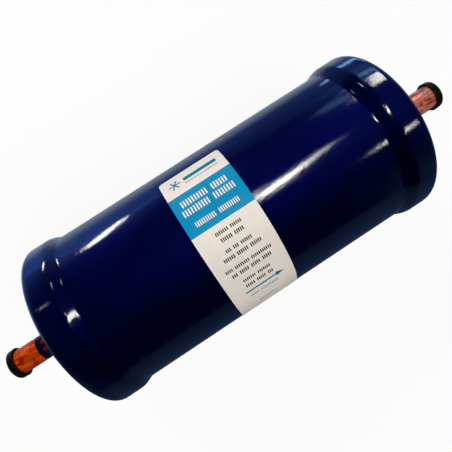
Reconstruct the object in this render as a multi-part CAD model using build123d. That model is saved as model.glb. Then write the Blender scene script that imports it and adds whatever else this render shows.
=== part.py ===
"""Hermetic liquid line filter drier with solder sockets, built lying along X.

The refrigerant enters at -X and leaves at +X. The origin is the middle of the
shell, on its axis. All sizes are in millimetres. What the two ends share is
drawn once for the outlet end, at +X, and mirrored in the YZ plane for the inlet.
"""

import os
from math import asin, ceil, cos, degrees, pi, sin, sqrt

from build123d import *

# Shell tube
SHELL_DIAMETER = 76.0
SHELL_WALL = 1.6
SHELL_LENGTH = 160.0

# Pressed end caps, which slip over the tube
CAP_WALL = 1.85
CAP_FIT = 0.15  # radial gap between the tube and a cap's skirt
SKIRT_LAP = 7.8  # length of tube that a skirt covers
CAP_STRAIGHT = 0.4  # straight skirt past the tube's end, before the knuckle
KNUCKLE_RADIUS = 3.8  # outside
CROWN_RADIUS = 81.0  # outside
SKIRT_EDGE_ROUND = 0.4
COLLAR_WALL = 1.4  # drawn collar that holds the stub
COLLAR_LENGTH = 4.5
COLLAR_FILLET = 2.0

# Weld bead between a skirt's edge and the tube
BEAD_WIDTH = 5.5
BEAD_CROWN = 0.18  # how far the bead's face bulges

# Copper stubs with a solder socket for 3/8 in tube
STUB_DIAMETER = 11.5
STUB_LENGTH = 27.5
STUB_INSET = 1.5  # how far a stub reaches in past its cap's wall
STUB_BORE = 8.0
STUB_FIT = 0.05  # radial brazing gap between stub and collar
SOCKET_DIAMETER = 9.62
SOCKET_DEPTH = 8.0
SOCKET_CHAMFER = 0.3
BRAZE_LEG = 1.3
BRAZE_HOLLOW = 0.4  # how deep the fillet's hollow face lies from its corner, along each leg

# Push-on transport caps
PLUG_FIT = 0.05  # radial gap on the stub
PLUG_WALL = 0.95
PLUG_END = 1.2
PLUG_GRIP = 5.2  # length of stub that a transport cap covers
PLUG_END_GAP = 0.2
PLUG_TAPER = 0.25  # by how much a transport cap's radius falls to its end
PLUG_ROUND = 1.6
PLUG_LIP_ROUND = 0.3

# Label
LABEL_WIDTH = 29.0  # along the shell
LABEL_LENGTH = 90.0  # round the shell
LABEL_THICKNESS = 0.12
LABEL_GLUE = 0.03  # adhesive between the label and the tube
LABEL_OFFSET = -3.5  # of the label's middle from the shell's, along X
LABEL_CLOCK = 16.0  # of the label's middle, in degrees from +Z towards -Y
LABEL_CORNER = 1.6

# Filter pack, held between the two perforated plates
PACK_FIT = 0.15  # radial gap inside the tube
SEAT_GAP = 0.1  # between a cap's crown and what bears on it
PLATE_THICKNESS = 1.2
PLATE_RIM = 12.0  # height of the outlet plate's rim, which bears on the cap
PRESSURE_RIM = 5.0  # height of the pressure plate's rim, which centres the spring
PLATE_BEND = 1.0  # inside radius between a plate and its rim
HOLE_DIAMETER = 5.0
HOLE_PITCH = 9.6
HOLE_RINGS = 3
SCREEN_THICKNESS = 0.4
SCREEN_GAP = 4.6  # width of a gap in a wire screen
SCREEN_WIRE = 1.2
OUTLET_PAD = 6.0
INLET_PAD = 3.0
BED_LENGTH = 118.0

# Compression spring
WIRE_DIAMETER = 2.6
SPRING_DIAMETER = 50.0  # outside
SPRING_TURNS = 3.5  # active turns between the closed ends
CLOSED_PITCH = 2.7  # of the closed end turns, which all but touch
POINTS_PER_TURN = 12
GRINDING = 0.35  # share of the wire that is ground off each end

# Radii and stations that follow from the sizes above
shell_radius = SHELL_DIAMETER / 2
shell_bore = shell_radius - SHELL_WALL
cap_bore = shell_radius + CAP_FIT
cap_radius = cap_bore + CAP_WALL
tube_end = SHELL_LENGTH / 2
skirt_edge = tube_end - SKIRT_LAP
knuckle_start = tube_end + CAP_STRAIGHT
knuckle_centre = cap_radius - KNUCKLE_RADIUS  # radius of the knuckle's centre circle
crown_centre = knuckle_start - sqrt((CROWN_RADIUS - KNUCKLE_RADIUS) ** 2 - knuckle_centre**2)
crown_edge_angle = asin(knuckle_centre / (CROWN_RADIUS - KNUCKLE_RADIUS))
stub_radius = STUB_DIAMETER / 2
socket_radius = SOCKET_DIAMETER / 2
collar_bore = stub_radius + STUB_FIT
collar_radius = collar_bore + COLLAR_WALL
stub_inner_end = crown_centre + CROWN_RADIUS - CAP_WALL - STUB_INSET
stub_mouth = stub_inner_end + STUB_LENGTH
plug_bore = stub_radius + PLUG_FIT
plug_radius = plug_bore + PLUG_WALL
plug_lip = stub_mouth - PLUG_GRIP
plug_floor = stub_mouth + PLUG_END_GAP
plug_end = plug_floor + PLUG_END
pack_radius = shell_bore - PACK_FIT


def crown_x(radius, crown):
    """Station of the crown sphere of that radius, at a distance from the axis."""
    return crown_centre + sqrt(crown**2 - radius**2)


inner_crown = CROWN_RADIUS - CAP_WALL
collar_end = crown_x(collar_radius, CROWN_RADIUS) + COLLAR_LENGTH

# The filter pack is stacked from the outlet plate towards the inlet
outlet_rim_edge = crown_x(pack_radius, inner_crown) - SEAT_GAP
outlet_plate_face = outlet_rim_edge - PLATE_RIM
outlet_screen_face = outlet_plate_face - SCREEN_THICKNESS
outlet_pad_face = outlet_screen_face - OUTLET_PAD
bed_inlet_face = outlet_pad_face - BED_LENGTH
inlet_pad_face = bed_inlet_face - INLET_PAD
inlet_screen_face = inlet_pad_face - SCREEN_THICKNESS
pressure_plate_back = inlet_screen_face - PLATE_THICKNESS
spring_seat = -(crown_x(SPRING_DIAMETER / 2, inner_crown) - SEAT_GAP)


def turned(outline):
    """A solid of revolution about X from a closed outline of (station, radius) edges."""
    return revolve(Plane.XZ * make_face(outline), Axis.X)


def ring(start, end, outer, inner=0.0):
    """A plain turned ring or disc between two stations."""
    corners = [(start, inner), (end, inner), (end, outer), (start, outer)]
    return turned(Polyline(*corners, close=True))


def inlet_twin(outlet_piece):
    """The same piece at the inlet end."""
    return mirror(outlet_piece, about=Plane.YZ)


def arc_point(centre, radius, angle):
    """A point of an arc in the outline's plane, with the angle taken from the axis."""
    return (centre[0] + radius * cos(angle), centre[1] + radius * sin(angle))


def shell_tube():
    return ring(-tube_end, tube_end, shell_radius, shell_bore)


def end_cap():
    """Dished cap: skirt, knuckle, shallow crown and a collar drawn out round the stub."""
    crown_mid = (crown_centre, 0)
    knuckle_mid = (knuckle_start, knuckle_centre)
    knuckle_inside = KNUCKLE_RADIUS - CAP_WALL
    half_turn = (crown_edge_angle + pi / 2) / 2

    def crown_arc(sphere, hole):
        """The arc of one side of the crown, from the collar out to the knuckle."""
        start = asin(hole / sphere)
        middle = (start + crown_edge_angle) / 2
        angles = (start, middle, crown_edge_angle)
        return ThreePointArc(*(arc_point(crown_mid, sphere, angle) for angle in angles))

    def knuckle_arc(radius):
        """The arc of one side of the knuckle, from the crown out to the skirt."""
        angles = (crown_edge_angle, half_turn, pi / 2)
        return ThreePointArc(*(arc_point(knuckle_mid, radius, angle) for angle in angles))

    outer_crown_foot = arc_point(crown_mid, CROWN_RADIUS, asin(collar_radius / CROWN_RADIUS))
    inner_crown_foot = arc_point(crown_mid, inner_crown, asin(collar_bore / inner_crown))
    skirt = Polyline(
        (knuckle_start, cap_bore),
        (skirt_edge, cap_bore),
        (skirt_edge, cap_radius),
        (knuckle_start, cap_radius),
    )
    collar = Polyline(
        outer_crown_foot,
        (collar_end, collar_radius),
        (collar_end, collar_bore),
        inner_crown_foot,
    )
    outline = make_face(
        Curve() + [
            skirt,
            knuckle_arc(KNUCKLE_RADIUS),
            crown_arc(CROWN_RADIUS, collar_radius),
            collar,
            crown_arc(inner_crown, collar_bore),
            knuckle_arc(knuckle_inside),
        ]
    )
    outline = fillet(nearest(outline, outer_crown_foot), COLLAR_FILLET)
    outline = fillet(nearest(outline, inner_crown_foot), COLLAR_FILLET)
    outline = fillet(nearest(outline, (skirt_edge, cap_radius)), SKIRT_EDGE_ROUND)
    return revolve(Plane.XZ * outline, Axis.X)


def nearest(outline, point):
    """The outline's corner nearest to a point."""
    return outline.vertices().sort_by_distance(Vector(point[0], point[1], 0))[0]


def weld_bead():
    """Lap weld from the skirt's edge down to the tube, a little crowned."""
    toe = (skirt_edge - BEAD_WIDTH, shell_radius)
    crest = (skirt_edge, cap_radius - SKIRT_EDGE_ROUND)
    length = sqrt((crest[0] - toe[0]) ** 2 + (crest[1] - toe[1]) ** 2)
    top = (
        (toe[0] + crest[0]) / 2 - BEAD_CROWN * (crest[1] - toe[1]) / length,
        (toe[1] + crest[1]) / 2 + BEAD_CROWN * (crest[0] - toe[0]) / length,
    )
    back = Polyline(crest, (skirt_edge, shell_radius), toe)
    return turned(Curve() + [back, ThreePointArc(toe, top, crest)])


def stub():
    """Turned copper stub: a solder socket at the mouth, with a stop, and a plain bore behind."""
    stop = stub_mouth - SOCKET_DEPTH
    corners = [
        (stub_inner_end, STUB_BORE / 2),
        (stop, STUB_BORE / 2),
        (stop, socket_radius),
        (stub_mouth - SOCKET_CHAMFER, socket_radius),
        (stub_mouth, socket_radius + SOCKET_CHAMFER),
        (stub_mouth, stub_radius),
        (stub_inner_end, stub_radius),
    ]
    return turned(Polyline(*corners, close=True))


def braze_ring():
    """Fillet of brazing metal in the corner between the collar's end and the stub."""
    foot = (collar_end + BRAZE_LEG, stub_radius)
    shoulder = (collar_end, min(stub_radius + BRAZE_LEG, collar_radius))
    waist = (collar_end + BRAZE_HOLLOW, stub_radius + BRAZE_HOLLOW)
    corner = Polyline(shoulder, (collar_end, stub_radius), foot)
    return turned(Curve() + [corner, ThreePointArc(foot, waist, shoulder)])


def transport_cap():
    """Soft push-on cap over the stub's mouth, a little tapered, with a rounded end."""
    end_radius = plug_radius - PLUG_TAPER
    corners = [
        (plug_lip, plug_bore),
        (plug_lip, plug_radius),
        (plug_end, end_radius),
        (plug_end, 0),
        (plug_floor, 0),
        (plug_floor, plug_bore),
    ]
    outline = make_face(Polyline(*corners, close=True))
    outline = fillet(nearest(outline, (plug_end, end_radius)), PLUG_ROUND)
    outline = fillet(nearest(outline, (plug_lip, plug_radius)), PLUG_LIP_ROUND)
    return revolve(Plane.XZ * outline, Axis.X)


def label():
    """Film label wrapped part of the way round the tube, with rounded corners."""
    sweep_angle = degrees(LABEL_LENGTH / shell_radius)
    start, end = LABEL_OFFSET - LABEL_WIDTH / 2, LABEL_OFFSET + LABEL_WIDTH / 2
    inner = shell_radius + LABEL_GLUE
    outer = inner + LABEL_THICKNESS
    section = Polyline((start, inner), (end, inner), (end, outer), (start, outer), close=True)
    film = revolve(Plane.XZ * make_face(section), Axis.X, sweep_angle)
    corner_edges = [
        edge
        for edge in film.edges()
        if abs(edge.length - LABEL_THICKNESS) < LABEL_THICKNESS / 10
    ]
    film = fillet(corner_edges, LABEL_CORNER)
    return Rot(LABEL_CLOCK - sweep_angle / 2, 0, 0) * film


def perforated(disc, start):
    """The disc with a centre hole and rings of holes, six more in each ring than in the last."""
    drill = Plane.YZ.offset(start) * Cylinder(
        HOLE_DIAMETER / 2, PLATE_THICKNESS, align=(Align.CENTER, Align.CENTER, Align.MIN)
    )
    drills = [drill]
    for number in range(1, HOLE_RINGS + 1):
        for step in range(6 * number):
            turn = Rot(360 * step / (6 * number), 0, 0)
            drills.append(turn * Pos(0, 0, number * HOLE_PITCH) * drill)
    return disc - drills


def rimmed_plate(face, rim_edge, radius):
    """Perforated plate with a turned-up rim; its flat face is at one station, its rim's edge at another."""
    side = 1 if rim_edge > face else -1
    back = face + side * PLATE_THICKNESS
    corners = [
        (face, 0),
        (face, radius),
        (rim_edge, radius),
        (rim_edge, radius - PLATE_THICKNESS),
        (back, radius - PLATE_THICKNESS),
        (back, 0),
    ]
    outline = make_face(Polyline(*corners, close=True))
    outline = fillet(nearest(outline, corners[1]), PLATE_BEND + PLATE_THICKNESS)
    outline = fillet(nearest(outline, corners[4]), PLATE_BEND)
    return perforated(revolve(Plane.XZ * outline, Axis.X), min(face, back))


def wire_screen(start):
    """Disc of wire screen: a square grid of gaps inside a solid border."""
    disc = ring(start, start + SCREEN_THICKNESS, pack_radius)
    pitch = SCREEN_GAP + SCREEN_WIRE
    reach = pack_radius - 2 * SCREEN_WIRE
    count = ceil(reach / pitch)
    gap = Box(SCREEN_THICKNESS, SCREEN_GAP, SCREEN_GAP, align=(Align.MIN, Align.CENTER, Align.CENTER))
    gaps = []
    for row in range(-count, count + 1):
        for column in range(-count, count + 1):
            y, z = row * pitch, column * pitch
            corner = sqrt((abs(y) + SCREEN_GAP / 2) ** 2 + (abs(z) + SCREEN_GAP / 2) ** 2)
            if corner < reach:
                gaps.append(Pos(start, y, z) * gap)
    return disc - gaps


def spring():
    """Compression spring with one closed, ground turn at each end."""
    wire_radius = WIRE_DIAMETER / 2
    coil_radius = SPRING_DIAMETER / 2 - wire_radius
    ground = GRINDING * WIRE_DIAMETER
    first = spring_seat - ground + wire_radius
    last = pressure_plate_back + ground - wire_radius
    open_pitch = (last - first - 2 * CLOSED_PITCH) / SPRING_TURNS
    turns = SPRING_TURNS + 2
    count = ceil(turns * POINTS_PER_TURN)

    def station(turn):
        """Place along X after so many turns: closed, then open, then closed."""
        opened = min(max(turn - 1, 0), SPRING_TURNS)
        return first + CLOSED_PITCH * (turn - opened) + open_pitch * opened

    points = []
    for step in range(count + 1):
        turn = turns * step / count
        angle = 2 * pi * turn
        points.append((station(turn), coil_radius * cos(angle), coil_radius * sin(angle)))
    path = Spline(*points)
    section = Plane(path @ 0, z_dir=path % 0) * Circle(wire_radius)
    coil = sweep(section, path=path, is_frenet=True)
    return coil & ring(spring_seat, pressure_plate_back, SPRING_DIAMETER)


def build():
    cap, bead, pipe, braze, plug = end_cap(), weld_bead(), stub(), braze_ring(), transport_cap()
    return {
        "shell_tube": shell_tube(),
        "outlet_end_cap": cap,
        "inlet_end_cap": inlet_twin(cap),
        "outlet_weld_bead": bead,
        "inlet_weld_bead": inlet_twin(bead),
        "outlet_stub": pipe,
        "inlet_stub": inlet_twin(pipe),
        "outlet_braze_ring": braze,
        "inlet_braze_ring": inlet_twin(braze),
        "outlet_transport_cap": plug,
        "inlet_transport_cap": inlet_twin(plug),
        "label": label(),
        "outlet_support_plate": rimmed_plate(outlet_plate_face, outlet_rim_edge, pack_radius),
        "outlet_wire_screen": wire_screen(outlet_screen_face),
        "outlet_filter_pad": ring(outlet_pad_face, outlet_screen_face, pack_radius),
        "desiccant_bed": ring(bed_inlet_face, outlet_pad_face, pack_radius),
        "inlet_filter_pad": ring(inlet_pad_face, bed_inlet_face, pack_radius),
        "inlet_wire_screen": wire_screen(inlet_screen_face),
        "pressure_plate": rimmed_plate(inlet_screen_face, pressure_plate_back - PRESSURE_RIM, pack_radius),
        "compression_spring": spring(),
    }


os.makedirs("parts", exist_ok=True)
for node, piece in build().items():
    export_step(piece, f"parts/{node}.step")
    print(node, round(piece.volume), "mm3")
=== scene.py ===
"""Looks of a hermetic filter drier, laid out as a Blender add-on and run as a script.

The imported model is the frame. The shell's paint, the copper, the plastic caps, the printed label and
the filter pack are made here, in metres, round the CAD nodes, and nothing of the frame is moved.
"""

import math

import bpy
from bpy.props import FloatProperty, FloatVectorProperty, PointerProperty
from mathutils import Euler, Matrix, Vector


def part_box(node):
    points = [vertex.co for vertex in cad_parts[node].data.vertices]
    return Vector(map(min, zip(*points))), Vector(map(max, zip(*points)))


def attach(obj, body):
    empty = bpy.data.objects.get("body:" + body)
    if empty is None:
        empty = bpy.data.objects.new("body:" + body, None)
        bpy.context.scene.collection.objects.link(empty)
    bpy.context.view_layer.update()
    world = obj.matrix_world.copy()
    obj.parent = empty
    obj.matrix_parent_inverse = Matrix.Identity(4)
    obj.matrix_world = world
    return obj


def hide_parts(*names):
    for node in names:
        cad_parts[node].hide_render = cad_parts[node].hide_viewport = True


bl_info = {
    "name": "Filter drier",
    "version": (1, 0, 0),
    "blender": (4, 5, 0),
    "location": "3D View > Sidebar > Drier",
    "description": "Dresses a packed filter drier: paint, copper, caps, label and filter pack",
    "category": "Object",
}

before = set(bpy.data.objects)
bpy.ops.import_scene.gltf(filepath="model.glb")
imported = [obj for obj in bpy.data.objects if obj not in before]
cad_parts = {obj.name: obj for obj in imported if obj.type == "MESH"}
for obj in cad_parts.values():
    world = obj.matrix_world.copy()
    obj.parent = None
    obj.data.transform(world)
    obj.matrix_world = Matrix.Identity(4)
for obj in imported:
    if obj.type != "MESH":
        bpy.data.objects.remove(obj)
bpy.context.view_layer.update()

MM = 0.001
DOUBLE = 0.002 * MM  # vertices nearer than this are merged
ENDS = {"inlet": -1, "outlet": 1}  # side of the origin that each end is on, along X

# Sizes read from the frame. The end caps' radius is their least, so that a turned cap stays in the CAD box
shell_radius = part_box("shell_tube")[1].z
cap_radius = min(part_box("outlet_end_cap")[1].y, -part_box("outlet_end_cap")[0].z)
skirt_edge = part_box("outlet_end_cap")[0].x
bead_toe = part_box("outlet_weld_bead")[0].x
stub_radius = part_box("outlet_stub")[1].z
stub_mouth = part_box("outlet_stub")[1].x
plug_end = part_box("outlet_transport_cap")[1].x


# ---------------------------------------------------------------- settings

class PaintSettings(bpy.types.PropertyGroup):
    colour: FloatVectorProperty(
        name="Paint", description="Colour of the shell's gloss paint", subtype="COLOR",
        size=4, min=0, max=1, default=(0.0004, 0.0032, 0.118, 1))
    peel: FloatProperty(
        name="Orange peel", description="How strongly the paint's skin ripples", default=0.32, min=0, max=1,
        subtype="FACTOR")
    overspray: FloatProperty(
        name="Overspray", description="Distance from the shell's middle to where the paint on a stub ends",
        default=104.2 * MM, unit="LENGTH")


class StubSettings(bpy.types.PropertyGroup):
    inlet: FloatVectorProperty(
        name="Inlet copper", description="Main colour of the inlet stub", subtype="COLOR",
        size=4, min=0, max=1, default=(1.0, 0.135, 0.004, 1))
    inlet_dark: FloatVectorProperty(
        name="Inlet tarnish", description="Colour of the inlet stub's tarnish", subtype="COLOR",
        size=4, min=0, max=1, default=(0.36, 0.012, 0.003, 1))
    outlet: FloatVectorProperty(
        name="Outlet copper", description="Main colour of the outlet stub", subtype="COLOR",
        size=4, min=0, max=1, default=(0.85, 0.28, 0.21, 1))
    outlet_dark: FloatVectorProperty(
        name="Outlet tarnish", description="Colour of the outlet stub's tarnish", subtype="COLOR",
        size=4, min=0, max=1, default=(0.24, 0.022, 0.014, 1))


class CapSettings(bpy.types.PropertyGroup):
    colour: FloatVectorProperty(
        name="Plastic", description="Colour of the transport caps", subtype="COLOR",
        size=4, min=0, max=1, default=(0.003, 0.0027, 0.0024, 1))
    rounding: FloatProperty(
        name="Rounding", description="Radius of a transport cap's end corner", default=1.1 * MM,
        unit="LENGTH")
    radius: FloatProperty(
        name="Radius", description="Outside radius of a transport cap", default=7.05 * MM, unit="LENGTH")
    length: FloatProperty(
        name="Length", description="Length of a transport cap", default=3.45 * MM, unit="LENGTH")
    lip: FloatProperty(
        name="Lip", description="Height of the bead round a transport cap's mouth", default=0.22 * MM,
        unit="LENGTH")
    recess: FloatProperty(
        name="Recess", description="Depth of the dish in a transport cap's end", default=0.35 * MM,
        unit="LENGTH")


class EndSettings(bpy.types.PropertyGroup):
    knuckle: FloatProperty(
        name="Knuckle", description="Outside radius between an end cap's skirt and crown",
        default=3.8 * MM, unit="LENGTH")
    crown: FloatProperty(
        name="Crown", description="Outside radius of an end cap's dish", default=81 * MM, unit="LENGTH")
    wall: FloatProperty(
        name="Wall", description="Thickness of an end cap", default=1.85 * MM, unit="LENGTH")
    start: FloatProperty(
        name="Knuckle start", description="Distance from the shell's middle to where the knuckle starts",
        default=80.4 * MM, unit="LENGTH")
    collar: FloatProperty(
        name="Collar", description="Thickness of the collar drawn out round a stub",
        default=1.45 * MM, unit="LENGTH")
    blend: FloatProperty(
        name="Blend", description="Radius between the crown and the collar", default=2.4 * MM, unit="LENGTH")
    fused: FloatProperty(
        name="Fused edge", description="Distance from the shell's middle to where weld and skirt meet",
        default=73.6 * MM, unit="LENGTH")


class WeldSettings(bpy.types.PropertyGroup):
    toe: FloatProperty(
        name="Toe", description="Radius of the hollow where a weld meets the tube", default=4.5 * MM,
        unit="LENGTH")
    crest: FloatProperty(
        name="Crest", description="Radius of the roll where a weld meets the skirt", default=7.2 * MM,
        unit="LENGTH")
    ripple: FloatProperty(
        name="Ripple", description="Height of the waves left along a weld", default=0.12 * MM, unit="LENGTH")


class LabelSettings(bpy.types.PropertyGroup):
    corner: FloatProperty(
        name="Corner", description="Radius of the label's corners", default=1.6 * MM, unit="LENGTH")
    paper: FloatVectorProperty(
        name="Film", description="Colour of the label's bare film", subtype="COLOR",
        size=4, min=0, max=1, default=(0.92, 0.87, 0.81, 1))
    panel: FloatVectorProperty(
        name="Panel", description="Colour of the label's printed panel", subtype="COLOR",
        size=4, min=0, max=1, default=(0.0, 0.28, 0.56, 1))
    ink: FloatVectorProperty(
        name="Ink", description="Colour of the small print", subtype="COLOR",
        size=4, min=0, max=1, default=(0.022, 0.018, 0.02, 1))
    accent: FloatVectorProperty(
        name="Accent", description="Colour of the flow arrow and the symbol", subtype="COLOR",
        size=4, min=0, max=1, default=(0.0, 0.20, 0.32, 1))
    faint: FloatVectorProperty(
        name="Faint print", description="Colour of the palest print", subtype="COLOR",
        size=4, min=0, max=1, default=(0.33, 0.36, 0.42, 1))


class PackSettings(bpy.types.PropertyGroup):
    bead: FloatProperty(
        name="Bead", description="Diameter of a desiccant bead", default=3.0 * MM, min=0.5 * MM,
        unit="LENGTH")


class StageSettings(bpy.types.PropertyGroup):
    lens: FloatProperty(
        name="Focal length", description="Focal length of the camera", default=30.85, min=10, max=200,
        unit="CAMERA")
    height: FloatProperty(
        name="Camera height", description="Height of the camera over the drier's axis",
        default=184.61 * MM, unit="LENGTH")
    offset: FloatProperty(
        name="Camera offset", description="Place of the camera along the drier", default=-11.27 * MM,
        unit="LENGTH")
    roll: FloatProperty(
        name="Camera roll", description="Slope of the drier across the picture", subtype="ANGLE",
        default=math.radians(33.05))
    key: FloatProperty(
        name="Key light", description="Power of the soft key light", default=8.6, unit="POWER")
    fill: FloatProperty(
        name="Fill light", description="Power of the soft fill light", default=11.0, unit="POWER")


class DrierSettings(bpy.types.PropertyGroup):
    paint: PointerProperty(type=PaintSettings, name="Paint", description="Shell paint")
    stubs: PointerProperty(type=StubSettings, name="Stubs", description="Copper stubs")
    ends: PointerProperty(type=EndSettings, name="End caps", description="Dished end caps of the shell")
    caps: PointerProperty(type=CapSettings, name="Transport caps", description="Plastic transport caps")
    welds: PointerProperty(type=WeldSettings, name="Welds", description="Weld beads")
    label: PointerProperty(type=LabelSettings, name="Label", description="Printed label")
    pack: PointerProperty(type=PackSettings, name="Filter pack", description="What the shell holds")
    stage: PointerProperty(type=StageSettings, name="Stage", description="Camera, lamps and floor")


# ---------------------------------------------------------------- material helpers

class Nodes:
    """Adds shader nodes to the tree of a material or of the world."""

    def __init__(self, tree):
        self.tree = tree

    def node(self, kind, sockets=None, **options):
        """Adds a node. Sockets maps an input to a value, or to an output that is linked to it."""
        made = self.tree.nodes.new(kind)
        for name, value in options.items():
            setattr(made, name, value)
        for key, value in (sockets or {}).items():
            self.feed(made.inputs[key], value)
        return made

    def feed(self, socket, value):
        """Links an output to an input, or sets the input to a value."""
        if isinstance(value, bpy.types.NodeSocket):
            self.tree.links.new(value, socket)
        elif socket.type == "VECTOR":
            socket.default_value = value[:3]
        else:
            socket.default_value = value

    def maths(self, operation, first, second=0.0, third=0.0, clamp=False):
        made = self.node("ShaderNodeMath", {0: first, 1: second, 2: third}, operation=operation)
        made.use_clamp = clamp
        return made.outputs[0]

    def split(self, vector):
        """The X, Y and Z of a vector, by name."""
        return self.node("ShaderNodeSeparateXYZ", {0: vector}).outputs

    def between(self, value, low, high, out_low=0.0, out_high=1.0):
        """Maps a value smoothly from one range to another, and holds it at the ends."""
        made = self.node("ShaderNodeMapRange", {
            "Value": value, "From Min": low, "From Max": high, "To Min": out_low, "To Max": out_high},
            interpolation_type="SMOOTHSTEP")
        return made.outputs[0]

    def mix(self, factor, first, second, blend="MIX"):
        """One colour over another. With the blend ADD, the second is added to the first."""
        made = self.node("ShaderNodeMix", {0: factor, 6: first, 7: second}, data_type="RGBA",
                         blend_type=blend)
        return made.outputs[2]


class Finish(Nodes):
    """A procedural material in the making, on a piece's own Object coordinates."""

    def __init__(self, name):
        self.material = bpy.data.materials.new(name)
        self.material.use_nodes = True
        super().__init__(self.material.node_tree)
        self.shader = self.tree.nodes["Principled BSDF"]
        self.place = self.node("ShaderNodeTexCoord").outputs["Object"]

    def set(self, **values):
        """Sets or links the shader's own sockets, named with underscores for spaces."""
        for name, value in values.items():
            self.feed(self.shader.inputs[name.replace("_", " ")], value)

    def axis(self, name):
        """One coordinate of the piece, in metres."""
        return self.split(self.place)[name]

    def stretched(self, scale):
        """Coordinates scaled along each axis, for a grain that runs one way."""
        return self.node("ShaderNodeMapping", {"Vector": self.place, "Scale": scale}).outputs["Vector"]

    def noise(self, scale, detail=2.0, roughness=0.5, distortion=0.0, place=None):
        made = self.node("ShaderNodeTexNoise", {
            "Vector": place or self.place, "Scale": scale, "Detail": detail,
            "Roughness": roughness, "Distortion": distortion})
        return made.outputs[0]

    def shade(self, colour, factor, dark, light):
        """The colour, made darker or lighter by the factor."""
        tone = self.between(factor, 0.3, 0.7, dark, light)
        made = self.node("ShaderNodeVectorMath", {0: colour, 3: tone}, operation="SCALE")
        return made.outputs[0]

    def bump(self, height, strength, distance, normal=None):
        sockets = {"Height": height, "Strength": strength, "Distance": distance}
        if normal:
            sockets["Normal"] = normal
        return self.node("ShaderNodeBump", sockets).outputs["Normal"]


def settings():
    """The sizes and colours that the panel shows."""
    return bpy.context.scene.drier


def paint_finish(name, depth=1.0):
    """Deep blue gloss enamel: a sharp clear skin with a fine orange peel over a softer base."""
    finish = Finish(name)
    paint = settings().paint
    # A depth under 1 darkens the whole colour: painted shade, used for the weld bands
    colour = finish.shade(list(paint.colour), finish.noise(35, 3), 0.85 * depth, 1.2 * depth)
    peel = finish.bump(finish.noise(800, 3, 0.6), paint.peel, 0.11 * MM)
    skin = finish.bump(finish.noise(110, 1), paint.peel, 0.12 * MM, peel)
    rough = finish.between(finish.noise(60, 4), 0.3, 0.75, 0.56, 0.62)
    finish.set(Base_Color=colour, Metallic=0.972, Roughness=rough, Normal=skin, Coat_Normal=skin)
    finish.set(Coat_Weight=1.0, Coat_Roughness=0.08, Coat_IOR=1.6)
    return finish.material


def copper_finish(name, copper, tarnish, spots, spot_colour, spot_size):
    """Drawn copper with dark streaks along it, a few spots, and the shell's paint at its foot."""
    finish = Finish(name)
    along = finish.stretched((0.22, 1.0, 1.0))
    streaks = finish.between(finish.noise(520, 4, 0.6, 0.6, along), 0.4, 0.6)
    patches = finish.between(finish.noise(260, 3, 0.5, 0.5), 0.45, 0.65)
    stain = finish.maths("MULTIPLY_ADD", streaks, 0.65, finish.maths("MULTIPLY", patches, 0.5), clamp=True)
    metal = finish.mix(stain, list(copper), list(tarnish))
    sprayed = (0.0008, 0.0015, 0.012, 1)
    reach = finish.maths("ABSOLUTE", finish.axis("X"))
    wander = finish.maths("MULTIPLY_ADD", finish.noise(260, 3), 1.1 * MM, -0.55 * MM)
    edge = settings().paint.overspray
    bare = finish.between(finish.maths("ADD", reach, wander), edge - 0.25 * MM, edge + 0.2 * MM)
    colour = finish.mix(bare, sprayed, metal)
    for spot in spots:
        away = finish.node("ShaderNodeVectorMath", {0: finish.place, 1: spot}, operation="DISTANCE")
        near = finish.between(away.outputs["Value"], spot_size, 0.5 * spot_size)
        colour = finish.mix(near, colour, spot_colour)
    rough = finish.mix(bare, (0.14, 0.14, 0.14, 1), (0.32, 0.32, 0.32, 1))
    grain = finish.bump(finish.noise(300, 4, 0.6, 0.4, along), 0.3, 0.1 * MM)
    finish.set(Base_Color=colour, Metallic=finish.maths("MULTIPLY", bare, 0.35), Roughness=rough)
    finish.set(Specular_IOR_Level=0.25, Normal=grain)
    return finish.material


def braze_finish():
    """Brazing metal under the shell's paint."""
    finish = Finish("painted_braze")
    colour = finish.shade(list(settings().paint.colour), finish.noise(300, 3), 0.7, 1.4)
    finish.set(Base_Color=colour, Roughness=0.2, Coat_Weight=0.6, Coat_Roughness=0.08)
    finish.set(Normal=finish.bump(finish.noise(700, 3), 0.5, 0.2 * MM))
    return finish.material


def plastic_finish():
    """Soft black moulded plastic, a little scuffed."""
    finish = Finish("black_plastic")
    scuff = finish.between(finish.noise(650, 5, 0.65, 1.2), 0.5, 0.72)
    scuffed = (0.012, 0.011, 0.009, 1)
    colour = finish.mix(scuff, list(settings().caps.colour), scuffed)
    rough = finish.between(finish.noise(240, 3), 0.3, 0.7, 0.3, 0.46)
    finish.set(Base_Color=colour, Roughness=rough, Specular_IOR_Level=0.22)
    finish.set(Normal=finish.bump(finish.noise(1500, 2), 0.25, 0.05 * MM))
    return finish.material


def print_finish(name, colour):
    """Printed film: nearly even, with a faint mottle and a satin skin."""
    finish = Finish(name)
    tone = finish.shade(list(colour), finish.noise(160, 4), 0.97, 1.02)
    finish.set(Base_Color=tone, Roughness=0.42, Specular_IOR_Level=0.18)
    finish.set(Normal=finish.bump(finish.noise(240, 2), 0.12, 0.1 * MM))
    return finish.material


def steel_finish(name, colour, rough, grain):
    """Bare or plated steel with a fine grain and a little colour variation."""
    finish = Finish(name)
    tone = finish.shade(list(colour), finish.noise(110, 4), 0.8, 1.15)
    spread = finish.between(finish.noise(grain, 4), 0.3, 0.7, rough * 0.8, rough * 1.25)
    finish.set(Base_Color=tone, Roughness=spread, Metallic=1.0)
    finish.set(Normal=finish.bump(finish.noise(grain, 3), 0.2, 0.05 * MM))
    return finish.material


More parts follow.
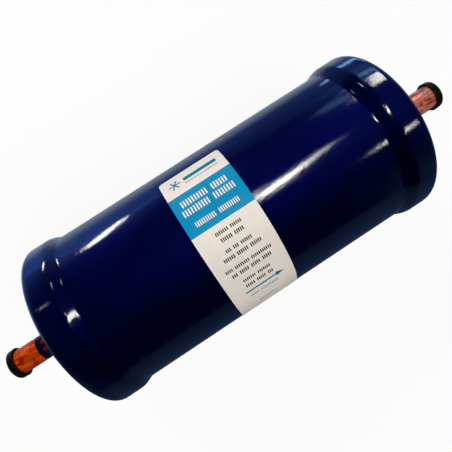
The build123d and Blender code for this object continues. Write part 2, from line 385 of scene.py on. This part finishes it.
def pad_finish():
    """White needled fibre mat: short crossed fibres and soft hollows."""
    finish = Finish("fibre_mat")
    fibres = finish.noise(1400, 6, 0.75, 3.0)
    hollows = finish.noise(260, 3)
    shaded, white = (0.62, 0.6, 0.54, 1), (0.85, 0.84, 0.79, 1)
    colour = finish.mix(finish.between(fibres, 0.35, 0.7), shaded, white)
    weave = finish.bump(fibres, 0.8, 0.4 * MM)
    finish.set(Base_Color=colour, Roughness=0.95, Sheen_Weight=0.3)
    finish.set(Normal=finish.bump(hollows, 0.5, 0.8 * MM, weave))
    return finish.material


def bead_finish():
    """Chalky desiccant beads packed side by side, each of a slightly different beige, with painted shade
    between them.
    """
    finish = Finish("desiccant_beads")
    bead = settings().pack.bead
    tan, cream, gap_shade_colour = (0.50, 0.40, 0.29, 1), (0.74, 0.68, 0.57, 1), (0.16, 0.12, 0.08, 1)
    beads = finish.node(
        "ShaderNodeTexVoronoi", {"Vector": finish.place, "Scale": 1 / bead, "Randomness": 0.7}).outputs
    tone = finish.node("ShaderNodeSeparateColor", {0: beads["Color"]}).outputs[0]
    # Painted shade: the hollows between the beads are darkened
    gap_shade = finish.between(beads["Distance"], 0.35, 0.65, 0.0, 0.75)
    colour = finish.mix(gap_shade, finish.mix(tone, tan, cream), gap_shade_colour)
    chalk = finish.bump(finish.noise(2600, 3), 0.4, 0.06 * MM)
    dome = finish.between(beads["Distance"], 0.0, 0.7, 1.0, 0.0)
    finish.set(Base_Color=colour, Roughness=0.9, Normal=finish.bump(dome, 0.9, 0.3 * bead, chalk))
    return finish.material


def stage_finish(name, seen, mirrored):
    """Matt paper, white to the eye. For the drier it holds painted light: painted shade in front,
    a painted pale reflection close behind and a painted blue reflection far off.

    It glows in part: seen is that share for camera rays, and mirrored for reflections, where its cool
    glow is a painted reflection.
    """
    white, paper, cool = (1, 1, 1, 1), (0.97, 0.97, 0.97, 1), (0.3, 0.55, 1, 1)
    # Painted shade in front and painted light behind, seen only in the drier's reflections and bounced light
    front, close = (0.02, 0.042, 0.095, 1), (0.5, 0.62, 0.8, 1)
    far_left, far_right = (0.07, 0.22, 0.72, 1), (0.015, 0.05, 0.24, 1)
    finish = Finish(name)
    path = finish.node("ShaderNodeLightPath").outputs
    behind = finish.axis("Y")
    far = finish.mix(finish.between(finish.axis("X"), -0.16, 0.12), far_left, far_right)
    back = finish.mix(finish.between(behind, 0.07, 0.16), close, far)
    painted_reflection_tone = finish.mix(finish.between(behind, -0.03, 0.06), front, back)
    tone = finish.mix(path["Is Camera Ray"], painted_reflection_tone, paper)
    finish.set(Base_Color=tone, Roughness=0.9, Specular_IOR_Level=0.1)
    bounced = finish.maths("MAXIMUM", path["Is Glossy Ray"], path["Is Transmission Ray"])
    bounced = finish.maths("MULTIPLY", bounced, mirrored)
    share = finish.maths("MULTIPLY_ADD", path["Is Camera Ray"], seen, bounced)
    # Painted reflection: in reflections the floor glows a cool blue
    glow = finish.mix(path["Is Camera Ray"], cool, white)
    shine = finish.node("ShaderNodeEmission", {"Color": glow, "Strength": 1.0}).outputs[0]
    mixed = finish.node("ShaderNodeMixShader", {0: share, 1: finish.shader.outputs[0], 2: shine})
    finish.feed(finish.tree.nodes["Material Output"].inputs["Surface"], mixed.outputs[0])
    return finish.material


# ---------------------------------------------------------------- modelling helpers

def choose(*objects):
    """Selects these objects only, and makes the first one active."""
    bpy.ops.object.select_all(action="DESELECT")
    for thing in objects:
        thing.select_set(True)
    bpy.context.view_layer.objects.active = objects[0]


def settle(piece):
    """Puts a piece's place into its mesh, so that its object sits at the origin."""
    choose(piece)
    bpy.ops.object.transform_apply(location=True, rotation=True, scale=True)
    return piece


def join(name, parts):
    """Joins parts into one piece, which keeps the place and the materials of each."""
    choose(*parts)
    bpy.ops.object.join()
    piece = bpy.context.object
    piece.name = piece.data.name = name
    return settle(piece)


def apply(piece, kind, **values):
    """Adds a modifier, sets it and applies it."""
    choose(piece)
    modifier = piece.modifiers.new(kind.lower(), kind)
    for name, value in values.items():
        setattr(modifier, name, value)
    bpy.ops.object.modifier_apply(modifier=modifier.name)


def smooth(piece, angle):
    """Shades a piece smooth, apart from edges sharper than the angle, in degrees."""
    choose(piece)
    bpy.ops.object.shade_smooth_by_angle(angle=math.radians(angle))


def wear(thing, material):
    """Gives an object this material in place of any it has."""
    thing.data.materials.clear()
    thing.data.materials.append(material)


def arc(centre, radius, start, end, count):
    """Points of an arc in a profile. Its centre is a station and a radius, and its angles are in degrees."""
    points = []
    for step in range(count + 1):
        angle = math.radians(start + (end - start) * step / count)
        points.append((centre[0] + radius * math.cos(angle), centre[1] + radius * math.sin(angle)))
    return points


def turned(name, profile, side, steps):
    """A piece turned about the drier's axis: a chain of points is spun full circle.

    Each point is its distance from the drier's middle, towards the end that side says, and its radius.
    """
    profile = [(side * station, radius) for station, radius in profile]
    bpy.ops.object.select_all(action="DESELECT")
    bpy.ops.mesh.primitive_plane_add(size=MM, location=(profile[0][0], 0, profile[0][1]))
    piece = bpy.context.object
    piece.name = piece.data.name = name
    bpy.ops.object.mode_set(mode="EDIT")
    bpy.ops.mesh.merge(type="CENTER")
    for before, after in zip(profile, profile[1:]):
        step = (after[0] - before[0], 0, after[1] - before[1])
        bpy.ops.mesh.extrude_vertices_move(TRANSFORM_OT_translate={"value": step})
    bpy.ops.mesh.select_all(action="SELECT")
    bpy.ops.mesh.spin(steps=steps, angle=math.tau, center=(0, 0, 0), axis=(1, 0, 0))
    bpy.ops.mesh.select_all(action="SELECT")
    bpy.ops.mesh.remove_doubles(threshold=DOUBLE)
    bpy.ops.mesh.normals_make_consistent(inside=False)
    bpy.ops.object.mode_set(mode="OBJECT")
    return settle(piece)


def finished(piece, body, node):
    """Fixes a new piece to its body, and hides the node that it stands for."""
    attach(piece, body)
    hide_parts(node)


# ---------------------------------------------------------------- pieces

class DRIER_OT_body(bpy.types.Operator):
    """Paint the shell tube, and model both end caps with their welded edges"""
    bl_idname = "drier.body"
    bl_label = "Shell and end caps"

    BORE_GAP = 0.02 * MM  # between the collar's bore and the stub
    BORE_DEPTH = 2 * MM
    CHAMFER = 0.25 * MM  # at the mouth of the bore
    MOUTH = 0.35 * MM  # rounding of the collar's mouth
    LOOPS = (1.5 * MM, 4 * MM)  # edge loops that keep the skirt straight, back from the knuckle
    # The skirt's rolled edge: distances on from the fused edge, and in from the skirt's face
    ROLL = ((0.6 * MM, 0.0), (0.0, 0.02 * MM), (-0.5 * MM, 0.6 * MM))
    ROLL_END = 0.9 * MM  # how far in it is at the skirt's very edge
    STEPS = 200  # round the axis
    SHARP = 40  # edges sharper than this, in degrees, stay hard

    def execute(self, context):
        paint = paint_finish("shell_paint")
        wear(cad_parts["shell_tube"], paint)
        for end, side in ENDS.items():
            cap = turned(f"{end}_end", self.profile(), side, self.STEPS)
            smooth(cap, self.SHARP)
            wear(cap, paint)
            finished(cap, "drier", f"{end}_end_cap")
        return {"FINISHED"}

    def profile(self):
        """Half section of an end cap, from the collar's bore over the crown to the skirt and back inside."""
        shape = settings().ends
        knuckle, crown, wall = shape.knuckle, shape.crown, shape.wall
        start, ring = shape.start, cap_radius - shape.knuckle
        middle = start - math.sqrt((crown - knuckle) ** 2 - ring**2)
        foot = math.degrees(math.asin(ring / (crown - knuckle)))
        collar = stub_radius + shape.collar
        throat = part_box("outlet_end_cap")[1].x
        blend = shape.blend
        rise = math.degrees(math.asin((collar + blend) / (crown + blend)))
        heel = middle + (crown + blend) * math.cos(math.radians(rise))
        bore = stub_radius + self.BORE_GAP
        skirt = cap_radius - wall
        points = [(throat - self.BORE_DEPTH, bore)]
        points += [(throat - self.CHAMFER, bore), (throat, bore + self.CHAMFER)]
        points += arc((throat - self.MOUTH, collar - self.MOUTH), self.MOUTH, 0, 90, 5)
        points += arc((heel, collar + blend), blend, 270, 180 + rise, 8)
        points += arc((middle, 0), crown, rise, foot, 40)[1:]
        points += arc((start, ring), knuckle, foot, 90, 20)[1:]
        points += [(start - back, cap_radius) for back in self.LOOPS]
        points += [(shape.fused + on, cap_radius - inward) for on, inward in self.ROLL]
        points += [(skirt_edge, cap_radius - self.ROLL_END), (skirt_edge, skirt), (start, skirt)]
        points += arc((start, ring), knuckle - wall, 90, foot, 10)[1:]
        points += arc((middle, 0), crown - wall, foot, rise, 30)[1:]
        return points + [points[0]]


class DRIER_OT_welds(bpy.types.Operator):
    """Model both weld beads: a hollow toe on the tube, a sloped face and a rolled crest on the skirt"""
    bl_idname = "drier.welds"
    bl_label = "Weld beads"

    SUNK = 0.3 * MM  # how deep the bead's foot lies in the tube's wall
    OVERLAP = 0.1 * MM  # how far the crest runs on under the skirt's fused edge
    ROOT = (0.5 * MM, 1.2 * MM)  # depth of the crest's edge, and how far the hidden root leans back from it
    ROUNDS = 60  # of the sum that finds the slope
    STEPS = 300  # round the axis
    SHARP = 50  # edges sharper than this, in degrees, stay hard

    WAVE = 5 * MM  # length of the ripple's waves
    SHIFT, SPREAD = 0.4 * MM, 0.5 * MM  # how much further out and longer the rippled face is than the node's
    FADE = 2.5  # how soon the ripple has its full height, in from either edge
    LEVEL = 0.6  # value in the waves that stays in place

    def execute(self, context):
        # The weld bands take the shell's paint darkened to 0.6, a painted shade for their darker look
        paint = paint_finish("weld_paint", 0.6)
        for end, side in ENDS.items():
            bead = turned(f"{end}_weld", self.profile(), side, self.STEPS)
            self.ripple(bead)
            smooth(bead, self.SHARP)
            wear(bead, paint)
            finished(bead, "drier", f"{end}_weld_bead")
        return {"FINISHED"}

    def profile(self):
        """Section of a bead, from its toe over the crest to its root inside the wall."""
        toe, crest = settings().welds.toe, settings().welds.crest
        start, end = bead_toe, settings().ends.fused + self.OVERLAP
        # The slope at which the toe's hollow and the crest's roll meet in one straight face
        slope = 0.0
        for _ in range(self.ROUNDS):
            run = end - start - (toe + crest) * math.sin(slope)
            climb = cap_radius - shell_radius - (toe + crest) * (1 - math.cos(slope))
            slope = math.atan2(climb, run)
        turn = math.degrees(slope)
        sunk = shell_radius - self.SUNK
        points = [(start, sunk)]
        points += arc((start, shell_radius + toe), toe, 270, 270 + turn, 8)
        points += arc((end, cap_radius - crest), crest, 90 + turn, 90, 10)
        return points + [(end, cap_radius - self.ROOT[0]), (end - self.ROOT[1], sunk), points[0]]

    def ripple(self, bead):
        """Uneven waves round the bead's face, as a weld leaves under paint. They fade at both its edges."""
        waves = bpy.data.textures.new(bead.name + "_waves", "CLOUDS")
        waves.noise_scale = self.WAVE
        face = bead.vertex_groups.new(name="face")
        middle = (bead_toe + skirt_edge) / 2 + self.SHIFT
        half = (skirt_edge - bead_toe) / 2 + self.SPREAD
        for vertex in bead.data.vertices:
            share = 1 - abs(abs(vertex.co.x) - middle) / half
            if share > 0 and vertex.co.yz.length > shell_radius:
                face.add([vertex.index], min(1.0, self.FADE * share), "REPLACE")
        apply(bead, "DISPLACE", texture=waves, texture_coords="LOCAL", strength=settings().welds.ripple,
              mid_level=self.LEVEL, vertex_group="face")


class DRIER_OT_stubs(bpy.types.Operator):
    """Finish the copper stubs, with the shell's overspray, and the painted braze rings"""
    bl_idname = "drier.stubs"
    bl_label = "Stubs"

    # Where the overspray is thin at the inlet and the copper dull at the outlet: places, colour and size
    INLET_SPOTS = ((-0.1006, 0.0026, 0.0051), (-0.1008, -0.0009, 0.0057))
    OUTLET_SPOTS = ((0.1118, 0.0027, 0.0051), (0.1132, 0.0028, 0.0050))
    SPOTS = {
        "inlet": (INLET_SPOTS, (0.16, 0.004, 0.012, 1), 1.3 * MM),
        "outlet": (OUTLET_SPOTS, (0.36, 0.2, 0.16, 1), 1.7 * MM),
    }

    def execute(self, context):
        braze = braze_finish()
        stubs = settings().stubs
        for end in ENDS:
            copper, tarnish = getattr(stubs, end), getattr(stubs, end + "_dark")
            look = copper_finish(f"{end}_copper", copper, tarnish, *self.SPOTS[end])
            wear(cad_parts[f"{end}_stub"], look)
            wear(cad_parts[f"{end}_braze_ring"], braze)
        return {"FINISHED"}


class DRIER_OT_transport_caps(bpy.types.Operator):
    """Model the push-on transport caps, with a beaded mouth, a taper and a dished end"""
    bl_idname = "drier.transport_caps"
    bl_label = "Transport caps"

    BORE_GAP = 0.05 * MM  # between the bore and the stub
    FLOOR_GAP = 0.2 * MM  # between the bore's floor and the stub's mouth
    CHAMFER = 0.25 * MM  # at the mouth of the bore
    TAPER = 0.12 * MM  # how much less the radius is at the closed end
    LAND = 0.3 * MM  # flat ring between the end's rounding and its dish
    DISH = ((0.7, 0.35 * MM), (1.0, 0.9 * MM))  # shares of the dish's depth, and how far in from the land
    LIP_BACK = ((2.5, 0.0), (3.5, 0.4))  # distance from the mouth and drop of the lip's back, in lip heights
    STEPS = 96  # round the axis
    SHARP = 40  # edges sharper than this, in degrees, stay hard

    def execute(self, context):
        plastic = plastic_finish()
        for end, side in ENDS.items():
            cap = turned(f"{end}_cap", self.profile(), side, self.STEPS)
            smooth(cap, self.SHARP)
            wear(cap, plastic)
            finished(cap, f"{end}_cap", f"{end}_transport_cap")
        return {"FINISHED"}

    def profile(self):
        """Half section of a cap, from the middle of the bore's floor round its mouth to the dished end."""
        shape = settings().caps
        bore = stub_radius + self.BORE_GAP
        floor = stub_mouth + self.FLOOR_GAP
        radius, lip, start = shape.radius, shape.lip, plug_end - shape.length
        rounding, recess = shape.rounding, shape.recess
        end_radius = radius - self.TAPER
        rim = end_radius - rounding - self.LAND
        points = [(floor, 0.0), (floor, bore), (start + self.CHAMFER, bore), (start, bore + self.CHAMFER)]
        points += arc((start + lip, radius - lip), lip, 180, 90, 5)
        points += [(start + on * lip, radius - drop * lip) for on, drop in self.LIP_BACK]
        points += arc((plug_end - rounding, end_radius - rounding), rounding, 86, 0, 8)
        points += [(plug_end, rim)]
        points += [(plug_end - share * recess, rim - inward) for share, inward in self.DISH]
        return points + [(plug_end - recess, 0.0)]


class DRIER_OT_label(bpy.types.Operator):
    """Lay out the label flat, with its fields and print, and wrap it round the shell"""
    bl_idname = "drier.label"
    bl_label = "Label"

    PANEL = (12.2 * MM, 31.0 * MM)  # down from the label's top edge to the panel's top and foot
    THICKNESS = 0.1 * MM
    INK = 0.015 * MM  # how far the ink stands on the film
    GLUE = 0.03 * MM
    SLICE = 1.3 * MM  # length of one facet round the shell
    CORNER_STEPS = 8

    # The star: length and width of its arms, and its place, across and down from the top edge
    ARM = (5.4 * MM, 0.6 * MM)
    STAR = (-8.6 * MM, 6.0 * MM)
    # The bars beside it: place across, length, then distance down, height and ink of each
    BAR_ACROSS, BAR_LENGTH = 3.4 * MM, 15.5 * MM
    BARS = ((5.6 * MM, 1.9 * MM, "accent"), (8.2 * MM, 0.5 * MM, "faint"))

    # The flow arrow: distance down, places of its tail, neck and tip, and widths of its shaft and head
    ARROW_DOWN = 63.7 * MM
    TAIL, NECK, TIP = -8.3 * MM, 6.5 * MM, 10.3 * MM
    SHAFT, HEAD = 0.8 * MM, 2.6 * MM

    # Hatching of a row, as shares of its height: pitch of the strokes, gap between words, width of a letter
    PITCH, SPACE, LETTER = 0.42, 0.62, 0.83
    MIN_PITCH = 0.84 * MM
    STROKE = {"paper": 0.5, "ink": 0.6, "faint": 0.6}  # width of a stroke, as a share of the pitch

    # Rows of print in millimetres: distance down from the top edge, height, ink, and letters in each word
    ROWS = (
        (16.9, 2.9, "paper", (5, 3)),
        (21.0, 2.9, "paper", (5, 4)),
        (27.1, 2.2, "paper", (5, 5)),
        (34.4, 1.4, "ink", (5, 4)),
        (37.4, 1.6, "ink", (4, 3)),
        (41.9, 1.4, "ink", (2, 2, 4)),
        (44.9, 1.6, "ink", (4, 4, 4)),
        (49.4, 1.4, "ink", (3, 6, 8)),
        (52.4, 1.6, "ink", (2, 3, 3, 3)),
        (56.9, 1.4, "ink", (5, 5)),
        (60.1, 1.6, "ink", (3, 3, 2)),
        (67.1, 1.3, "faint", (4, 8)),
        (75.4, 1.4, "faint", (8,)),
    )

    def execute(self, context):
        parts = [self.film()] + self.symbol() + self.arrow()
        for down, height, ink, words in self.ROWS:
            parts += self.row(down * MM, height * MM, ink, words)
        label = join("printed_label", parts)
        self.wrap(label)
        finished(label, "drier", "label")
        return {"FINISHED"}

    def span(self):
        """First and last angle of the label's node, from straight up towards -Y, in radians."""
        found = [math.atan2(-v.co.y, v.co.z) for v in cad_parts["label"].data.vertices]
        return min(found), max(found)

    def top(self):
        """Height of the flat label's top edge over its middle, from the angle that its node spans."""
        first, last = self.span()
        return (last - first) * shell_radius / 2

    def patch(self, across, down, width, height, ink, lift):
        """A flat piece of print, by its middle, on the label laid out in the XZ plane."""
        bpy.ops.object.select_all(action="DESELECT")
        bpy.ops.mesh.primitive_plane_add(size=1, rotation=(math.pi / 2, 0, 0))
        made = bpy.context.object
        made.scale = (width, height, 1)
        made.location = (across, -lift, self.top() - down)
        settle(made)
        wear(made, self.ink(ink))
        return made

    def mark(self, across, down, width, height, ink):
        """A patch of ink on the film."""
        return self.patch(across, down, width, height, ink, self.INK)

    def ink(self, name):
        """The material of one of the label's colours, made when it is first asked for."""
        known = bpy.data.materials.get("label_" + name)
        return known or print_finish("label_" + name, getattr(settings().label, name))

    def film(self):
        """The film, with rounded corners and its printed panel as faces of their own."""
        low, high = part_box("label")
        top = self.top()
        film = self.patch(0, top, high.x - low.x, 2 * top, "paper", 0)
        bpy.ops.object.mode_set(mode="EDIT")
        bpy.ops.mesh.select_all(action="SELECT")
        bpy.ops.mesh.bevel(offset=settings().label.corner, segments=self.CORNER_STEPS, affect="VERTICES")
        bpy.ops.object.mode_set(mode="OBJECT")
        for down in self.PANEL:
            self.cut(film, top - down)
        film.data.materials.append(self.ink("panel"))
        for face in film.data.polygons:
            if self.PANEL[0] < top - face.center.z < self.PANEL[1]:
                face.material_index = 1
        return film

    def cut(self, piece, level):
        """Cuts a flat piece across at one height."""
        choose(piece)
        bpy.ops.object.mode_set(mode="EDIT")
        bpy.ops.mesh.select_all(action="SELECT")
        bpy.ops.mesh.bisect(plane_co=(0, 0, level), plane_no=(0, 0, 1))
        bpy.ops.object.mode_set(mode="OBJECT")

    def row(self, down, height, ink, words):
        """A row of print as plain hatching: upright strokes in groups, centred on the label."""
        pitch = max(self.PITCH * height, self.MIN_PITCH)
        stroke, space = self.STROKE[ink] * pitch, self.SPACE * height
        counts = [round(self.LETTER * height * letters / pitch) for letters in words]
        left = -(sum(counts) * pitch + (len(counts) - 1) * space) / 2
        made = []
        for count in counts:
            word = self.mark(left + stroke / 2, down, stroke, height, ink)
            apply(word, "ARRAY", count=count, use_relative_offset=False, use_constant_offset=True,
                  constant_offset_displace=(pitch, 0, 0))
            made.append(word)
            left += count * pitch + space
        return made

    def symbol(self):
        """A plain six-armed frost star over the panel, with two bars beside it."""
        top = self.top()
        arms = []
        for turn in range(3):
            arm = self.mark(0, top, *self.ARM, "accent")
            arm.rotation_euler = (0, turn * math.pi / 3, 0)
            settle(arm)
            arms.append(arm)
        star = join("star", arms)
        star.location = (self.STAR[0], 0, top - self.STAR[1])
        settle(star)
        marks = [star]
        for down, height, ink in self.BARS:
            marks.append(self.mark(self.BAR_ACROSS, down, self.BAR_LENGTH, height, ink))
        return marks

    def arrow(self):
        """The arrow that shows which way the refrigerant flows."""
        tail, neck, tip = self.TAIL, self.NECK, self.TIP
        shaft = self.mark((tail + neck) / 2, self.ARROW_DOWN, neck - tail, self.SHAFT, "accent")
        head = self.mark((neck + tip) / 2, self.ARROW_DOWN, tip - neck, self.HEAD, "accent")
        # The far two corners of the head's patch close up to its tip
        bpy.ops.object.mode_set(mode="EDIT")
        bpy.ops.mesh.select_all(action="DESELECT")
        bpy.ops.object.mode_set(mode="OBJECT")
        for vertex in head.data.vertices:
            vertex.select = vertex.co.x > (neck + tip) / 2
        bpy.ops.object.mode_set(mode="EDIT")
        bpy.ops.mesh.merge(type="CENTER")
        bpy.ops.object.mode_set(mode="OBJECT")
        return [shaft, head]

    def wrap(self, label):
        """Slices the flat label, bends it to the shell's curve and turns it to its place."""
        radius = shell_radius + self.GLUE + self.THICKNESS
        low = min(v.co.z for v in label.data.vertices)
        high = max(v.co.z for v in label.data.vertices)
        count = math.ceil((high - low) / self.SLICE)
        for step in range(1, count):
            self.cut(label, low + (high - low) * step / count)
        angle = (high - low) / radius
        apply(label, "SIMPLE_DEFORM", deform_method="BEND", deform_axis="X", angle=angle)
        label.location = (0, -radius, 0)
        settle(label)
        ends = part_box("label")
        label.rotation_euler = (sum(self.span()) / 2 - math.pi / 2, 0, 0)
        label.location = ((ends[0].x + ends[1].x) / 2, 0, 0)
        settle(label)


class DRIER_OT_pack(bpy.types.Operator):
    """Finish the plates, screens, pads and spring inside the shell"""
    bl_idname = "drier.pack"
    bl_label = "Filter pack"

    def execute(self, context):
        zinc = steel_finish("zinc_plate", (0.60, 0.60, 0.56, 1), 0.32, 900)
        wire = steel_finish("screen_wire", (0.50, 0.51, 0.52, 1), 0.36, 1500)
        spring = steel_finish("spring_wire", (0.20, 0.20, 0.21, 1), 0.30, 1200)
        mat = pad_finish()
        worn = {
            "pressure_plate": zinc, "outlet_support_plate": zinc,
            "inlet_wire_screen": wire, "outlet_wire_screen": wire, "compression_spring": spring,
            "inlet_filter_pad": mat, "outlet_filter_pad": mat, "desiccant_bed": bead_finish()}
        for node, material in worn.items():
            wear(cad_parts[node], material)
        return {"FINISHED"}


# ---------------------------------------------------------------- stage

class DRIER_OT_stage(bpy.types.Operator):
    """Lay the floor, hang the lamps and set up the camera"""
    bl_idname = "drier.stage"
    bl_label = "Stage"

    FLOOR_SIZE = 6.0
    FLOOR_GAP = 0.05 * MM  # between the floor and the end caps
    FLOOR_SEEN, FLOOR_MIRRORED = 0.90, 0.05  # share of the floor's own glow, seen and in reflections, where it is a painted reflection

    # The world's two glows: colour, ranges of X, Y or Z of the direction, and strength at each end of them
    HORIZON = (0.35, 0.6, 1.0, 1)
    HORIZON_UP = (0.0, 0.26, 0.13, 0.0)
    HORIZON_BACK = (-0.2, 0.8, 0.0, 1.0)
    HORIZON_LEAST = 0.004
    ENDS_GLOW = (0.22, 0.62, 1.0, 1)
    ENDS_FROM = (0.36, 0.50, 0.0, 0.3)
    ENDS_TO = (0.60, 0.85, 1.0, 0.3)
    ENDS_BACK = (-0.8, 0.3, 0.4, 1.0)
    ENDS_UP = (0.15, 0.65, 1.0, 0.08)
    BLACK = (0, 0, 0, 1)
    WHITE = (1, 1, 1, 1)

    # Soft lamps that light and aren't mirrored: place and size
    KEY = ((-0.25, 0.95, 0.42), (0.7, 0.5))
    FILL = ((0.2, -0.5, 1.0), (1.0, 1.0))
    WARM = (1.0, 0.97, 0.92)
    COOL = (0.26, 0.58, 1.0)

    # Narrow lamps that are only mirrored: both ends in metres, width, shape, tint and brightness
    STRIPS = (
        ("streak_near", (-0.135, 0.311, 0.060), (-0.083, 0.318, 0.002), 0.026, "ELLIPSE", WARM, 15.0),
        ("streak_far", (0.060, 0.120, 0.830), (0.340, 0.232, 0.745), 0.070, "ELLIPSE", WARM, 9.0),
        ("streak_root", (0.130, 0.138, 0.820), (0.275, 0.182, 0.790), 0.080, "ELLIPSE", WARM, 15.0),
        ("window_floor", (0.132, 0.168, -0.029), (0.192, 0.130, -0.013), 0.016, "RECTANGLE", COOL, 4.0),
        ("window_low", (0.440, 0.720, 0.215), (0.585, 0.610, 0.236), 0.080, "RECTANGLE", COOL, 2.6),
        ("window_high", (0.494, 0.550, 0.475), (0.503, 0.630, 0.310), 0.084, "RECTANGLE", WARM, 13.0),
        ("haze", (0.325, 0.592, 0.335), (0.390, 0.584, 0.290), 0.130, "ELLIPSE", COOL, 0.9),
        ("glint_right", (0.420, -0.262, 0.706), (0.520, -0.212, 0.678), 0.034, "ELLIPSE", WARM, 15.0),
        ("glint_back", (0.060, 0.713, 0.406), (0.085, 0.654, 0.493), 0.040, "ELLIPSE", WARM, 8.0),
        ("glint_left", (-0.390, 0.503, 0.584), (-0.408, 0.493, 0.581), 0.015, "ELLIPSE", WARM, 14.0),
        ("glint_top", (0.105, 0.232, 0.790), (0.145, 0.250, 0.768), 0.040, "ELLIPSE", WARM, 11.0),
    )

    SENSOR = 36.0  # width of the camera's sensor in millimetres
    TILT = (0.0056, -0.0494)  # of the camera, in radians
    NEAREST = 0.005  # distance at which the camera starts to see

    def execute(self, context):
        self.floor()
        self.world()
        self.lamps()
        self.camera()
        bpy.context.scene.view_settings.view_transform = "Standard"
        return {"FINISHED"}

    def floor(self):
        """A floor just under the end caps, white to the eye, with painted shade and reflections for the
        drier.
        """
        bpy.ops.object.select_all(action="DESELECT")
        under = -cap_radius - self.FLOOR_GAP
        bpy.ops.mesh.primitive_plane_add(size=self.FLOOR_SIZE, location=(0, 0, under))
        floor = bpy.context.object
        floor.name = floor.data.name = "floor"
        settle(floor)
        wear(floor, stage_finish("floor_paper", self.FLOOR_SEEN, self.FLOOR_MIRRORED))

    def world(self):
        """White to the eye. The drier sees it dark, with a blue glow low down behind and past both ends."""
        world = bpy.data.worlds.new("studio")
        bpy.context.scene.world = world
        world.use_nodes = True
        nodes = Nodes(world.node_tree)
        path = nodes.node("ShaderNodeLightPath").outputs
        way = nodes.split(nodes.node("ShaderNodeTexCoord").outputs["Generated"])
        back = nodes.between(way["Y"], *self.HORIZON_BACK)
        low = nodes.maths("MULTIPLY_ADD", nodes.between(way["Z"], *self.HORIZON_UP), back, self.HORIZON_LEAST)
        along = nodes.maths("ABSOLUTE", way["X"])
        past = nodes.between(along, *self.ENDS_FROM)
        for side, limits in ((along, self.ENDS_TO), (way["Y"], self.ENDS_BACK), (way["Z"], self.ENDS_UP)):
            past = nodes.maths("MULTIPLY", past, nodes.between(side, *limits))
        past = nodes.maths("MULTIPLY", past, path["Is Glossy Ray"])
        horizon = nodes.mix(low, self.BLACK, self.HORIZON)
        dark = nodes.mix(1.0, horizon, nodes.mix(past, self.BLACK, self.ENDS_GLOW), "ADD")
        direct = nodes.maths("MAXIMUM", path["Is Camera Ray"], path["Is Transmission Ray"])
        seen = nodes.mix(direct, dark, self.WHITE)
        nodes.feed(nodes.tree.nodes["Background"].inputs["Color"], seen)

    def lamp(self, name, place, axis, size, power, mirrored, shape="RECTANGLE", tint=WARM):
        """An area lamp that faces the drier, its longer side along the axis. It lights or is mirrored."""
        data = bpy.data.lights.new(name, "AREA")
        data.shape = shape
        data.size, data.size_y = size
        data.energy = power
        data.color = tint
        lamp = bpy.data.objects.new(name, data)
        bpy.context.scene.collection.objects.link(lamp)
        back = (place - axis * place.dot(axis)).normalized()
        turn = Matrix((axis, back.cross(axis), back)).transposed().to_4x4()
        lamp.matrix_world = Matrix.Translation(place) @ turn
        lamp.visible_camera = False
        lamp.visible_diffuse = not mirrored
        lamp.visible_glossy = mirrored

    def lamps(self):
        """The two soft lamps, and the narrow ones, each as bright per area as its row says."""
        stage = settings().stage
        along = Vector((1, 0, 0))
        for name, (place, size), power in (("key", self.KEY, stage.key), ("fill", self.FILL, stage.fill)):
            self.lamp(name, Vector(place), along, size, power, False)
        for name, start, end, width, shape, tint, brightness in self.STRIPS:
            start, end = Vector(start), Vector(end)
            length = (end - start).length
            power = math.pi * brightness * length * width
            middle, axis = (start + end) / 2, (end - start).normalized()
            self.lamp(name, middle, axis, (length, width), power, True, shape, tint)

    def camera(self):
        """The camera over the drier, rolled so that the drier slopes across the picture."""
        stage = settings().stage
        data = bpy.data.cameras.new("camera")
        data.lens = stage.lens
        data.sensor_width = self.SENSOR
        data.clip_start = self.NEAREST
        camera = bpy.data.objects.new("camera", data)
        bpy.context.scene.collection.objects.link(camera)
        camera.location = (stage.offset, 0, stage.height)
        camera.rotation_mode = "ZYX"
        camera.rotation_euler = Euler((*self.TILT, -stage.roll), "ZYX")
        bpy.context.scene.camera = camera


class DRIER_PT_panel(bpy.types.Panel):
    """Lists the drier's pieces and their settings"""
    bl_label = "Filter drier"
    bl_idname = "DRIER_PT_panel"
    bl_space_type = "VIEW_3D"
    bl_region_type = "UI"
    bl_category = "Drier"

    def draw(self, context):
        drier = context.scene.drier
        for operator in OPERATORS:
            self.layout.operator(operator.bl_idname)
        for group in (drier.paint, drier.ends, drier.welds, drier.stubs, drier.caps, drier.label,
                      drier.pack, drier.stage):
            box = self.layout.box()
            for name in group.bl_rna.properties.keys():
                if name not in ("rna_type", "name"):
                    box.prop(group, name)


OPERATORS = (
    DRIER_OT_body, DRIER_OT_welds, DRIER_OT_stubs, DRIER_OT_transport_caps, DRIER_OT_label,
    DRIER_OT_pack, DRIER_OT_stage,
)
GROUPS = (
    PaintSettings, EndSettings, StubSettings, CapSettings, WeldSettings, LabelSettings, PackSettings,
    StageSettings, DrierSettings,
)


def register():
    for cls in GROUPS + OPERATORS + (DRIER_PT_panel,):
        bpy.utils.register_class(cls)
    bpy.types.Scene.drier = PointerProperty(type=DrierSettings)


def unregister():
    del bpy.types.Scene.drier
    for cls in reversed(GROUPS + OPERATORS + (DRIER_PT_panel,)):
        bpy.utils.unregister_class(cls)


def main():
    register()
    bpy.ops.drier.body()
    bpy.ops.drier.welds()
    bpy.ops.drier.stubs()
    bpy.ops.drier.transport_caps()
    bpy.ops.drier.label()
    bpy.ops.drier.pack()
    bpy.ops.drier.stage()


if __name__ == "__main__":
    main()
